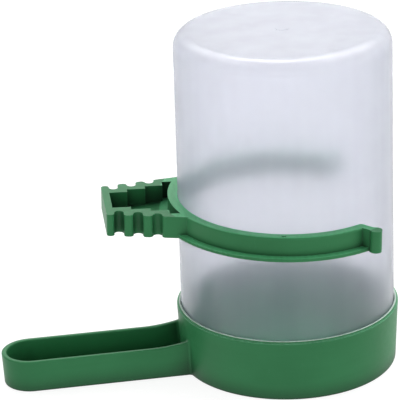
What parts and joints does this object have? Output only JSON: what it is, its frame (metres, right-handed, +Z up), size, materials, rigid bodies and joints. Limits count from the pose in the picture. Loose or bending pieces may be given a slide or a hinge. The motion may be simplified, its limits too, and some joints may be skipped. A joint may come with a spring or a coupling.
{
  "type": "cage bird and poultry waterer",
  "caption": "Siphon drinker for birds: a translucent jar stands open end down in a cup with a long open drinking trough, and a notched clip ring on the jar holds it to cage wires.",
  "frame": {"origin": "centre of the base's flat underside, on the jar's axis", "axes": "+Z up along the jar's axis, the drinking trough points along -X, +Y completes a right-handed frame"},
  "size_m": [0.1407, 0.087, 0.1209],
  "materials": {
    "base_green": "satin moulded polypropylene, mid green",
    "clip_green": "satin moulded polypropylene, mid green",
    "jar_frosted": "translucent natural polypropylene, slightly cloudy"
  },
  "bodies": {
    "base": {"trough_base": "base_green"},
    "jar": {"water_jar": "jar_frosted"},
    "clip": {"cage_clip": "clip_green"}
  },
  "joints": [
    {"name": "jar_lift", "type": "slide", "parent": "base", "child": "jar", "axis": [0, 0, 1], "range_m": [0, 0.035]},
    {"name": "clip_height", "type": "slide", "parent": "jar", "child": "clip", "axis": [0, 0, 1], "range_m": [-0.0298, 0.07]}
  ]
}
